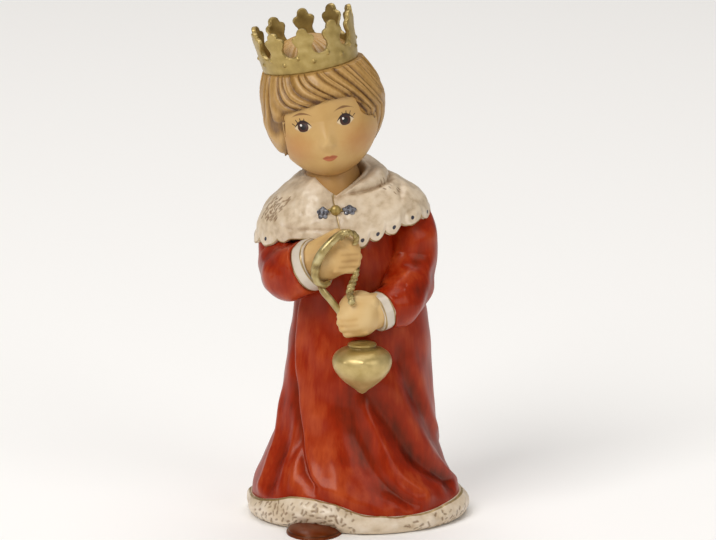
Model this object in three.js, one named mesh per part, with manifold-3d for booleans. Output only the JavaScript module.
// A painted ceramic nativity figurine: a boy king who stands in a long belled robe with a fur hem,
// a scalloped fur cape and an open crown, and holds a small censer on a cord before his chest.
// Millimetres, +Z up, the figure faces -Y. His right hand is at -X. The sole is at z = 0.

import * as THREE from 'three';
import { mergeVertices } from 'three/addons/utils/BufferGeometryUtils.js';
import Module from 'manifold-3d';

const wasm = await Module();
wasm.setup();

const { degToRad, lerp, clamp } = THREE.MathUtils;

// The figure stands a little behind the middle of its footprint, because the shoe looks out in front.
const FIGURE_SHIFT_BACK = 3.12;

// Robe: rows of height, half width, half depth and place across.
const ROBE_STATIONS = [
  [1, 28.2, 25.2, 0],
  [8, 27.9, 24.6, -0.8],
  [14, 26.0, 22.6, -1.1],
  [22, 22.8, 19.6, -0.6],
  [32, 21.0, 18.0, -0.1],
  [44, 19.6, 16.9, 0.3],
  [56, 18.3, 15.8, 0.6],
  [68, 17.6, 14.9, -1.2],
  [80, 16.6, 13.6, -3.4],
  [92, 10.5, 10.0, -6.2],
];
const ROBE_RINGS = 11;
const ROBE_SEGMENTS = 56;
const ROBE_CROWDING = 1.35;
// How much closer together the edges lie at the front than at the back.
const FRONT_CROWDING = 0.32;

// Folds of the robe. Each runs through [angle, height] points, where -90 degrees is the front and
// 0 the figure's left side. Rise is outwards, and the spreads are to the viewer's left and right.
const FOLDS = [
  { run: [[-119, 40], [-111, 25], [-98, 10]], rise: 0.7, spread: [5, 5] },
  { run: [[-92, 28], [-71, 8]], rise: -1.2, spread: [5, 3] },
  { run: [[-70, 36], [-50, 21], [-40, 8]], rise: -2.4, spread: [4, 3] },
  { run: [[-40, 46], [-31, 34], [-15, 24]], rise: 1.0, spread: [1.6, 3.5] },
  { run: [[-48, 50], [-44, 34], [-33, 23], [-16, 8]], rise: -2.0, spread: [3.5, 2] },
  { run: [[-45, 24], [-34, 18], [-13, 7]], rise: 1.0, spread: [3, 1.8] },
  { run: [[-153, 56], [-138, 26], [-130, 19], [-119, 9]], rise: 1.1, spread: [1.6, 3] },
  { run: [[-160, 54], [-145, 26], [-137, 18], [-130, 7]], rise: -1.3, spread: [2.6, 1.6] },
  { run: [[-168, 22], [-158, 6]], rise: -1.1, spread: [2.2, 2.2] },
  { run: [[-176, 22], [-168, 6]], rise: 0.9, spread: [2.2, 2.2] },
];
const FOLD_FADE = 8;
const BACK_FOLDS = 5;
const BACK_FOLD_RISE = 0.9;

// Fur hem round the foot of the robe. Its upper edge rises over the figure's right foot.
const HEM = { halfWidth: 30.4, halfDepth: 27.6, edge: 5.2, proud: 0.54, segments: 40 };
// Its section: shares of the half width and of the edge's height, from the sole's middle outwards.
const HEM_PROFILE = [
  [0, 0],
  [0.72, 0],
  [0.965, 0.06],
  [1, 0.5],
  [0.985, 0.78],
  [0.95, 1],
  [0.7, 1],
  [0, 1],
];
const HEM_INNER_SHARE = 0.8;
const HEM_LIP_SHARE = 0.9;
const HEM_SWELL = { angle: -111, rise: 4.4, spread: [30, 17] };
const HEM_LIFT = { across: -11.8, rise: 3.0, spread: 7.5 };

const SHOE = { centre: [-11.8, -23.5], halfWidth: 7.2, length: 10.6, rise: 6.6, segments: 14, rings: 6 };

// Cape: its lower edge hangs lower on the figure's right, and lobes of fur run round it.
const CAPE = {
  centre: [-4.3, 0.8],
  halfWidth: 24.0,
  halfDepth: 18.8,
  edgeHeight: 80.2,
  edgeSlope: 0.14,
  lobes: 26,
  lobeDrop: 1.9,
  lobePhase: -78,
  belly: 0.5,
  bellySlant: 0.1,
};
const CAPE_PLAIN_EDGE = { angle: -119, spread: 13 };
// The cape's neck opening: a V at the front, higher on the figure's left side and at the back.
const NECKLINE = { centre: [-7.0, -1.6], halfWidth: 10.4, halfDepth: 10.6, height: 98.0, tilt: 1.2, dip: 5.8, back: 2.3 };
const THROAT_FLOOR = 89.0;
const CAPE_SEGMENTS = 78;
const CAPE_RINGS = 4;

// Sleeves: rows of x, y, z and radius from the shoulder round the elbow to the mouth.
const RIGHT_SLEEVE = [
  [-15.5, 3.0, 88.0, 7.0],
  [-19.0, 1.0, 78.0, 8.3],
  [-19.9, -3.4, 69.6, 8.7],
  [-17.6, -11.6, 68.8, 8.0],
  [-13.4, -19.2, 72.4, 7.0],
];
const LEFT_SLEEVE = [
  [9.8, 2.5, 88.0, 7.2],
  [13.4, 1.2, 77.5, 8.2],
  [14.6, -2.8, 68.0, 7.8],
  [13.6, -10.4, 62.8, 7.2],
  [9.2, -18.8, 61.0, 6.2],
];
const SLEEVE_SEGMENTS = 15;
const SLEEVE_RINGS = 8;
const CUFF_INSET = 0.9;
const CUFF_LENGTH = 2.4;

// Hands: the palm is an egg of [centre], [half sizes] and a turn about the view direction.
const RIGHT_HAND = {
  palm: { centre: [-6.0, -20.4, 76.0], half: [8.6, 6.5, 6.0], turn: 12 },
  thumb: [[-12.5, -20.5, 77.0, 3.0], [-5.6, -22.0, 82.0, 2.0]],
  knuckle: [-4.6, -24.6, 80.6],
  tip: [0.4, -22.4, 79.2],
  fingerStep: [-0.1, 0, -2.45],
  fingerRadius: 1.65,
};
const LEFT_HAND = {
  palm: { centre: [1.4, -21.8, 60.4], half: [7.4, 6.7, 6.4], turn: -14 },
  thumb: [[5.5, -23.0, 64.4, 2.4], [-0.6, -25.4, 64.6, 2.1]],
  knuckle: [0.4, -26.2, 62.4],
  tip: [-4.6, -24.4, 60.9],
  fingerStep: [0.7, 0, -2.3],
  fingerRadius: 1.6,
};
const FINGERS = 4;
const PALM_SEGMENTS = 14;
const PALM_RINGS = 8;
const FINGER_SEGMENTS = 8;
const FINGER_RINGS = 4;

// The cord comes out of the right hand, folds over it and runs down to the left hand.
const CORD_POINTS = [
  [-1.6, -24.0, 81.8],
  [-4.6, -25.9, 82.0],
  [-7.6, -27.0, 79.6],
  [-10.0, -27.2, 76.2],
  [-11.1, -26.3, 72.6],
  [-10.6, -24.6, 69.0],
  [-9.2, -23.4, 66.6],
  [-7.2, -23.3, 63.6],
  [-4.6, -23.6, 60.4],
];
const CORD = { radius: 1.3, sides: 6, steps: 16 };
const STRAND_POINTS = [
  [-0.8, -22.0, 73.4],
  [-1.5, -23.2, 70.0],
  [-1.6, -24.6, 67.0],
  [-1.8, -26.4, 64.4],
];
const STRAND = { radius: 1.0, sides: 6, steps: 6 };
const KNOT = { centre: [-2.8, -24.6, 82.2], half: [2.6, 1.6, 1.5], segments: 8, rings: 5 };

// Censer: radius and height along its wall, from the tip up, and the place of its axis.
const CENSER_AXIS = [1.1, -23.4];
const CENSER_SEGMENTS = 14;
const CENSER_WALL = [
  [0, 38.4],
  [1.3, 39.1],
  [4.2, 41.2],
  [6.7, 43.8],
  [7.9, 46.4],
  [7.8, 48.0],
  [6.6, 49.7],
  [5.0, 50.6],
  [5.2, 51.6],
  [4.4, 52.4],
  [2.4, 53.2],
  [0, 53.6],
];

// Head frame: origin in the middle of the skull, leaning to the figure's right.
const HEAD = { origin: [-8.8, -2.0, 109.9], lean: 10 };
const SKIN = { centre: [0, -0.4, 2.2], half: [15.3, 15.4, 16.3] };
const SKIN_CROWDING = 0.5;
const SKIN_SEGMENTS = 26;
const SKIN_RINGS = 18;
const JAW_FULLNESS = 0.18;
const NOSE = { height: -3.4, spread: [1.7, 2.6], rise: 1.5 };
const SOCKET = { across: 5.4, height: 2.0, spread: [3.4, 2.6], rise: -0.55 };
const CHEEK = { across: 7.4, height: -4.6, spread: [4.6, 4.2], rise: 0.6 };
const CHIN = { height: -11.4, spread: [3.6, 2.6], rise: 0.9 };
const NECK = { bottom: [-7.4, -1.4, 86.0, 6.8], top: [-8.2, -1.6, 100.0, 6.8], segments: 20, rings: 8 };

// Hair: a cap over the skull with swept grooves, cut away over the face.
const HAIR = { centre: [0, 0.5, 4.5], half: [17.0, 17.2, 18.2], slant: [-0.12, 0.12], segments: 36, rings: 11 };
const HAIR_GROOVES = { count: 10, sweep: 1.5, cut: 0.7 };
const FRINGE = [[8.4, 6.5], [3.9, 7.6], [-3.4, 7.0], [-10.1, 4.4]];
const FACE_WINDOW = { left: 12.3, right: -13.6, temple: -0.2, bottom: -20, front: -22, back: -3.5 };

// Crown: ten trefoil points on a flared band, with round notches between them. Heights are from
// the band's foot, and widths are measured along its foot.
const CROWN = {
  centre: [-1.65, 1.8, 14.8],
  radius: 13.2,
  wall: 1.3,
  flare: 0.1,
  points: 10,
  root: 5.7,
  notch: { radius: 2.0, height: 8.1 },
  sideLobe: { across: 1.7, height: 10.5, radius: 1.3 },
  topLobe: { height: 12.1, radius: 1.4 },
};
// How much thinner each face of a point is than the band that it grows from.
const CROWN_INSET = 0.08;
// The hair is pressed in under the crown: radius and height of the step and of its outer slope.
const CROWN_SEAT = [
  [12.2, 0.2],
  [14.6, -0.4],
  [24, -7],
  [24, 30],
  [12.2, 30],
  [12.2, 0.2],
];
const CROWN_SEAT_SEGMENTS = 16;

/** Moves each vertex of a geometry to where place(point) puts it. */
function reshape(geometry, place) {
  const position = geometry.getAttribute('position');
  const point = new THREE.Vector3();
  for (let i = 0; i < position.count; i += 1) {
    place(point.fromBufferAttribute(position, i));
    position.setXYZ(i, point.x, point.y, point.z);
  }
  return geometry;
}

/** Makes a closed geometry a solid that can be joined and cut. */
function solidOf(geometry) {
  geometry.deleteAttribute('normal');
  geometry.deleteAttribute('uv');
  const merged = mergeVertices(geometry, 1e-4);
  const corners = merged.getIndex().array;
  const triVerts = [];
  for (let i = 0; i < corners.length; i += 3) {
    const [a, b, c] = corners.slice(i, i + 3);
    if (a !== b && b !== c && c !== a) {
      triVerts.push(a, b, c);
    }
  }
  const vertProperties = new Float32Array(merged.getAttribute('position').array);
  return new wasm.Manifold(new wasm.Mesh({ numProp: 3, vertProperties, triVerts: new Uint32Array(triVerts) }));
}

/** A solid round the Z axis: surface(share of height, angle, radial share) gives each point. */
function loft(segments, rings, surface) {
  const tube = new THREE.CylinderGeometry(1, 1, 1, segments, rings).rotateX(Math.PI / 2);
  return solidOf(reshape(tube, (point) => {
    const radial = Math.hypot(point.x, point.y) > 0.5 ? 1 : 0;
    point.copy(surface(point.z + 0.5, Math.atan2(point.y, point.x), radial));
  }));
}

/** Moves evenly spaced angles closer together at the front. */
function crowdToFront(angle, crowding) {
  return angle - crowding * Math.cos(angle);
}

/** An egg with its poles up and down, after shape(point) has changed its surface. */
function egg(centre, half, segments, rings, shape = () => {}, crowding = 0) {
  const ball = new THREE.SphereGeometry(1, segments, rings).rotateX(Math.PI / 2);
  return reshape(ball, (point) => {
    const radius = Math.hypot(point.x, point.y);
    const angle = crowdToFront(Math.atan2(point.y, point.x), crowding);
    point.set(radius * Math.cos(angle), radius * Math.sin(angle), point.z);
    point.multiply(new THREE.Vector3(...half));
    shape(point);
    point.add(new THREE.Vector3(...centre));
  });
}

/** A straight limb with round ends, from one ball of [x, y, z, radius] to another. */
function limb(start, end, segments, rings) {
  const from = new THREE.Vector3(...start);
  const to = new THREE.Vector3(...end);
  const turn = new THREE.Quaternion().setFromUnitVectors(
    new THREE.Vector3(0, 0, 1),
    to.clone().sub(from).normalize(),
  );
  const ball = new THREE.SphereGeometry(1, segments, rings).rotateX(Math.PI / 2);
  return solidOf(reshape(ball, (point) => {
    const far = point.z > 1e-6;
    point.applyQuaternion(turn).multiplyScalar(far ? end[3] : start[3]).add(far ? to : from);
  }));
}

/** A solid tube of round section that follows a curve through the points. */
function rope(points, { radius, sides, steps }) {
  const curve = new THREE.CatmullRomCurve3(points.map((point) => new THREE.Vector3(...point)));
  const section = new THREE.Shape().absarc(0, 0, radius, 0, 2 * Math.PI);
  return solidOf(new THREE.ExtrudeGeometry(section, {
    extrudePath: curve,
    steps,
    curveSegments: sides / 2,
    bevelEnabled: false,
  }));
}

/** A soft bump that is 1 in its middle and spreads differently to each side. */
function bump(distance, [before, after]) {
  return Math.exp(-((distance / (distance < 0 ? before : after)) ** 2));
}

/** The signed difference of two angles in degrees, from -180 to 180. */
function angleGap(angle, other) {
  return ((angle - other + 540) % 360) - 180;
}

/** The angle of a fold where it crosses a height, and how strong it is there. */
function foldAt(run, height) {
  const [top] = run;
  const strength = clamp(1 - (height - top[1]) / FOLD_FADE, 0, 1);
  for (let i = 1; i < run.length; i += 1) {
    const [upper, lower] = [run[i - 1], run[i]];
    if (height >= lower[1]) {
      const share = clamp((upper[1] - height) / (upper[1] - lower[1]), 0, 1);
      return [lerp(upper[0], lower[0], share), strength];
    }
  }
  return [run[run.length - 1][0], strength];
}

const robeProfile = new THREE.CubicInterpolant(
  ROBE_STATIONS.map(([height]) => height),
  ROBE_STATIONS.flatMap((row) => row.slice(1)),
  3,
);

/** How far the cloth stands out of the plain robe at an angle and height. */
function foldRise(angle, height, radius) {
  const turned = THREE.MathUtils.radToDeg(angle);
  const atBack = clamp(Math.sin(angle), 0, 1) * clamp(1 - height / 60, 0, 1);
  let rise = -atBack * BACK_FOLD_RISE * Math.cos(2 * BACK_FOLDS * angle);
  for (const { run, rise: foldHeight, spread } of FOLDS) {
    const [middle, strength] = foldAt(run, height);
    const distance = degToRad(angleGap(turned, middle)) * radius;
    rise += foldHeight * strength * bump(distance, spread);
  }
  return rise;
}

/** A point of the robe at a height and angle; proud moves it out, radial 0 gives the middle. */
function robePoint(height, angle, radial = 1, proud = 0) {
  const [halfWidth, halfDepth, across] = robeProfile.evaluate(height);
  const out = foldRise(angle, height, halfWidth) + proud;
  return new THREE.Vector3(
    across + radial * (halfWidth + out) * Math.cos(angle),
    radial * (halfDepth + out) * Math.sin(angle),
    height,
  );
}

function robe() {
  const foot = ROBE_STATIONS[0][0];
  const top = ROBE_STATIONS[ROBE_STATIONS.length - 1][0];
  return loft(ROBE_SEGMENTS, ROBE_RINGS, (share, angle, radial) => (
    robePoint(lerp(foot, top, share ** ROBE_CROWDING), crowdToFront(angle, FRONT_CROWDING), radial)
  ));
}

/** The height of the hem's upper edge at an angle. */
function hemEdge(angle) {
  const swell = bump(angleGap(THREE.MathUtils.radToDeg(angle), HEM_SWELL.angle), HEM_SWELL.spread);
  return HEM.edge + HEM_SWELL.rise * swell;
}

/** The fur roll: a flat sole, a lifted lip over the shoe, a round front and an edge on the robe. */
function hem() {
  const lathe = new THREE.LatheGeometry(HEM_PROFILE.map(([x, y]) => new THREE.Vector2(x, y)), HEM.segments);
  return solidOf(reshape(lathe.rotateX(Math.PI / 2), (point) => {
    const radial = Math.hypot(point.x, point.y);
    const angle = Math.atan2(point.y, point.x);
    const share = point.z;
    const edge = hemEdge(angle);
    const across = HEM.halfWidth * Math.cos(angle);
    const atLip = radial > HEM_LIP_SHARE && Math.sin(angle) < 0 ? 1 : 0;
    const lift = atLip * HEM_LIFT.rise * bump(across - HEM_LIFT.across, [HEM_LIFT.spread, HEM_LIFT.spread]);
    if (share === 1 && radial > HEM_INNER_SHARE) {
      point.copy(robePoint(edge, angle, 1, HEM.proud));
      return;
    }
    point.set(
      radial * across,
      radial * HEM.halfDepth * Math.sin(angle),
      radial < HEM_INNER_SHARE && share === 1 ? HEM.edge / 2 : Math.max(share * edge, lift + share * (edge - lift)),
    );
  }));
}

function shoe() {
  const { centre, halfWidth, length, rise, segments, rings } = SHOE;
  return solidOf(egg([...centre, 0], [halfWidth, length, rise], segments, rings, (point) => {
    point.z = Math.max(point.z, 0);
  }));
}

/** How far a lobe of the cape's edge hangs at an angle. */
function lobeDrop(angle) {
  const turned = THREE.MathUtils.radToDeg(angle);
  const phase = (((turned - CAPE.lobePhase) * CAPE.lobes) / 360 + 1000.5) % 1;
  const plain = bump(angleGap(turned, CAPE_PLAIN_EDGE.angle), [CAPE_PLAIN_EDGE.spread, CAPE_PLAIN_EDGE.spread]);
  return CAPE.lobeDrop * (1 - plain) * Math.sqrt(Math.max(0, 1 - (2 * phase - 1) ** 2));
}

function cape() {
  return loft(CAPE_SEGMENTS, CAPE_RINGS, (share, angle, radial) => {
    const inward = share ** 2;
    const rim = new THREE.Vector2(
      CAPE.centre[0] + CAPE.halfWidth * Math.cos(angle),
      CAPE.centre[1] + CAPE.halfDepth * Math.sin(angle),
    );
    const throat = new THREE.Vector2(
      NECKLINE.centre[0] + NECKLINE.halfWidth * Math.cos(angle),
      NECKLINE.centre[1] + NECKLINE.halfDepth * Math.sin(angle),
    );
    const place = rim.clone().lerp(throat, inward);
    const rimHeight = CAPE.edgeHeight + CAPE.edgeSlope * (rim.x - CAPE.centre[0]);
    const throatHeight = NECKLINE.height + NECKLINE.tilt * Math.cos(angle)
      + (Math.sin(angle) > 0 ? NECKLINE.back * Math.sin(angle) : NECKLINE.dip * (Math.abs(Math.cos(angle)) - 1));
    const hang = share === 0 ? lobeDrop(angle) : 0;
    const belly = CAPE.belly - CAPE.bellySlant * Math.cos(angle);
    if (radial === 0) {
      return new THREE.Vector3(...NECKLINE.centre, share > 0.5 ? THROAT_FLOOR : CAPE.edgeHeight);
    }
    return new THREE.Vector3(place.x, place.y, lerp(rimHeight, throatHeight, inward ** belly) - hang);
  });
}

/** A bent limb of round section with flat ends, through rows of x, y, z and radius. */
function bentLimb(stations, segments, rings) {
  const curve = new THREE.CatmullRomCurve3(stations.map(([x, y, z]) => new THREE.Vector3(x, y, z)));
  const { normals, binormals } = curve.computeFrenetFrames(rings);
  const last = stations.length - 1;
  return loft(segments, rings, (share, angle, radial) => {
    const ring = Math.round(share * rings);
    const along = curve.getUtoTmapping(share) * last;
    const station = Math.min(Math.floor(along), last - 1);
    const radius = radial * lerp(stations[station][3], stations[station + 1][3], along - station);
    return curve.getPointAt(share)
      .addScaledVector(normals[ring], radius * Math.cos(angle))
      .addScaledVector(binormals[ring], radius * Math.sin(angle));
  });
}

/** A sleeve with the cuff that looks out of its mouth. */
function arm(sleeve) {
  const [forearm, mouth] = sleeve.slice(-2);
  const end = new THREE.Vector3(...mouth);
  const along = end.clone().sub(new THREE.Vector3(...forearm)).normalize();
  const cuffStart = end.clone().addScaledVector(along, -CUFF_LENGTH);
  const cuffEnd = end.clone().addScaledVector(along, CUFF_LENGTH);
  const cuffRadius = mouth[3] - CUFF_INSET;
  return bentLimb(sleeve, SLEEVE_SEGMENTS, SLEEVE_RINGS)
    .add(bentLimb([cuffStart, cuffEnd].map((point) => [...point, cuffRadius]), SLEEVE_SEGMENTS, 1));
}

function hand({ palm, thumb, knuckle, tip, fingerStep, fingerRadius }) {
  const turned = new THREE.Matrix4().makeRotationY(-degToRad(palm.turn)).setPosition(...palm.centre);
  let fist = solidOf(egg([0, 0, 0], palm.half, PALM_SEGMENTS, PALM_RINGS).applyMatrix4(turned))
    .add(limb(...thumb, FINGER_SEGMENTS, FINGER_RINGS));
  for (let i = 0; i < FINGERS; i += 1) {
    const base = knuckle.map((value, axis) => value + i * fingerStep[axis]);
    const end = tip.map((value, axis) => value + i * fingerStep[axis]);
    fist = fist.add(limb([...base, fingerRadius], [...end, fingerRadius], FINGER_SEGMENTS, FINGER_RINGS));
  }
  return fist;
}

function cords() {
  return rope(CORD_POINTS, CORD)
    .add(rope(STRAND_POINTS, STRAND))
    .add(solidOf(egg(KNOT.centre, KNOT.half, KNOT.segments, KNOT.rings)));
}

function censer() {
  const wall = CENSER_WALL.map(([radius, height]) => new THREE.Vector2(radius, height));
  return solidOf(new THREE.LatheGeometry(wall, CENSER_SEGMENTS).rotateX(Math.PI / 2).translate(...CENSER_AXIS, 0));
}

/** The bare head in the head frame, with child's cheeks, a small nose and chin. */
function skull() {
  return solidOf(egg(SKIN.centre, SKIN.half, SKIN_SEGMENTS, SKIN_RINGS, (point) => {
    const jaw = 2 * clamp(-point.z / SKIN.half[2], 0, 1) * clamp(-point.y / SKIN.half[1], 0, 1);
    point.multiply(new THREE.Vector3(1, 1 + JAW_FULLNESS * jaw, 1 + JAW_FULLNESS * jaw));
    const height = point.z + SKIN.centre[2];
    const side = Math.abs(point.x);
    const front = clamp((-3 * point.y) / SKIN.half[1], 0, 1);
    const form = ({ across = 0, height: middle, spread, rise }) => (
      rise * bump(side - across, [spread[0], spread[0]]) * bump(height - middle, [spread[1], spread[1]])
    );
    point.y -= front * (form(NOSE) + form(SOCKET) + form(CHEEK) + form(CHIN));
  }, SKIN_CROWDING));
}

/** The hair in the head frame: a grooved cap that leans back, cut away over the face. */
function hair() {
  const cap = egg(HAIR.centre, HAIR.half, HAIR.segments, HAIR.rings, (point) => {
    const latitude = point.z / HAIR.half[2];
    const angle = Math.atan2(point.y, point.x);
    const strand = HAIR_GROOVES.count * (angle + HAIR_GROOVES.sweep * latitude);
    const groove = HAIR_GROOVES.cut * (0.5 + 0.5 * Math.cos(strand)) * Math.sqrt(Math.max(0, 1 - latitude ** 2));
    point.multiplyScalar(1 - groove / HAIR.half[0]);
    const rise = Math.max(point.z, 0);
    point.x += HAIR.slant[0] * rise;
    point.y += HAIR.slant[1] * rise;
  });
  const { left, right, temple, bottom, front, back } = FACE_WINDOW;
  const opening = new THREE.Shape();
  opening.moveTo(right, bottom);
  opening.lineTo(left, bottom);
  opening.lineTo(left, temple);
  opening.splineThru([...FRINGE, [right, temple]].map(([x, y]) => new THREE.Vector2(x, y)));
  opening.closePath();
  const window = new THREE.ExtrudeGeometry(opening, {
    depth: back - front,
    steps: 1,
    curveSegments: 3,
    bevelEnabled: false,
  });
  const seatOutline = CROWN_SEAT.map(([x, y]) => new THREE.Vector2(x, y));
  const seat = new THREE.LatheGeometry(seatOutline, CROWN_SEAT_SEGMENTS);
  return solidOf(cap)
    .subtract(solidOf(window.rotateX(Math.PI / 2).translate(0, back, 0)))
    .subtract(solidOf(seat.rotateX(Math.PI / 2).translate(...CROWN.centre)));
}

/** Adds a polygonal arc to an outline, from one angle in degrees to another. */
function arc(outline, across, { height, radius }, from, to, steps) {
  for (let step = 0; step <= steps; step += 1) {
    const angle = degToRad(lerp(from, to, step / steps));
    outline.lineTo(across + radius * Math.cos(angle), height + radius * Math.sin(angle));
  }
}

/** The outline of one point of the crown, laid flat, with half a round notch at each side. */
function trefoil() {
  const { notch, sideLobe, topLobe, root, points, radius } = CROWN;
  const halfPitch = (Math.PI * radius) / points;
  const outline = new THREE.Shape();
  outline.moveTo(-halfPitch, root);
  outline.lineTo(0, root);
  outline.lineTo(halfPitch, root);
  arc(outline, halfPitch, notch, -90, -225, 3);
  arc(outline, sideLobe.across, sideLobe, -35, 100, 3);
  arc(outline, 0, topLobe, -15, 195, 4);
  arc(outline, -sideLobe.across, sideLobe, 80, 215, 3);
  arc(outline, -halfPitch, notch, 45, -90, 3);
  outline.closePath();
  return outline;
}

/** The crown: a flared band with its points bent round it, one of them straight in front. */
function crown() {
  const { centre, radius, wall, flare, points, notch } = CROWN;
  const band = notch.height - notch.radius;
  const outer = radius + flare * band;
  const profile = [[radius - wall, 0], [radius, 0], [outer, band], [outer - wall, band], [radius - wall, 0]];
  const lathe = new THREE.LatheGeometry(profile.map(([x, y]) => new THREE.Vector2(x, y)), 4 * points);
  let ring = solidOf(lathe.rotateX(Math.PI / 2));
  for (let i = 0; i < points; i += 1) {
    const leaf = new THREE.ExtrudeGeometry(trefoil(), { depth: wall - 2 * CROWN_INSET, bevelEnabled: false });
    ring = ring.add(solidOf(reshape(leaf, (point) => {
      const angle = (2 * Math.PI * i) / points - Math.PI / 2 + point.x / radius;
      const out = radius + flare * point.y - wall + CROWN_INSET + point.z;
      point.set(out * Math.cos(angle), out * Math.sin(angle), point.y);
    })));
  }
  return ring.translate(centre);
}

/** Head, hair and crown, leant over and set on the body. */
function head() {
  return skull().add(hair()).add(crown()).rotate([0, -HEAD.lean, 0]).translate(HEAD.origin);
}

const body = robe()
  .add(hem())
  .add(shoe())
  .add(arm(RIGHT_SLEEVE))
  .add(arm(LEFT_SLEEVE))
  .add(cape())
  .add(limb(NECK.bottom, NECK.top, NECK.segments, NECK.rings))
  .add(head())
  .add(hand(RIGHT_HAND))
  .add(hand(LEFT_HAND))
  .add(cords())
  .add(censer())
  .translate([0, FIGURE_SHIFT_BACK, 0]);

const cast = body.getMesh();
const geometry = new THREE.BufferGeometry();
geometry.setAttribute('position', new THREE.BufferAttribute(cast.vertProperties, cast.numProp));
geometry.setIndex(new THREE.BufferAttribute(cast.triVerts, 1));
geometry.computeVertexNormals();

const glazedRed = new THREE.MeshStandardMaterial({ color: '#943017', roughness: 0.35, metalness: 0 });
const figurine = new THREE.Mesh(geometry, glazedRed);
figurine.name = 'figurine';

const model = new THREE.Group();
model.add(figurine);
export default model;
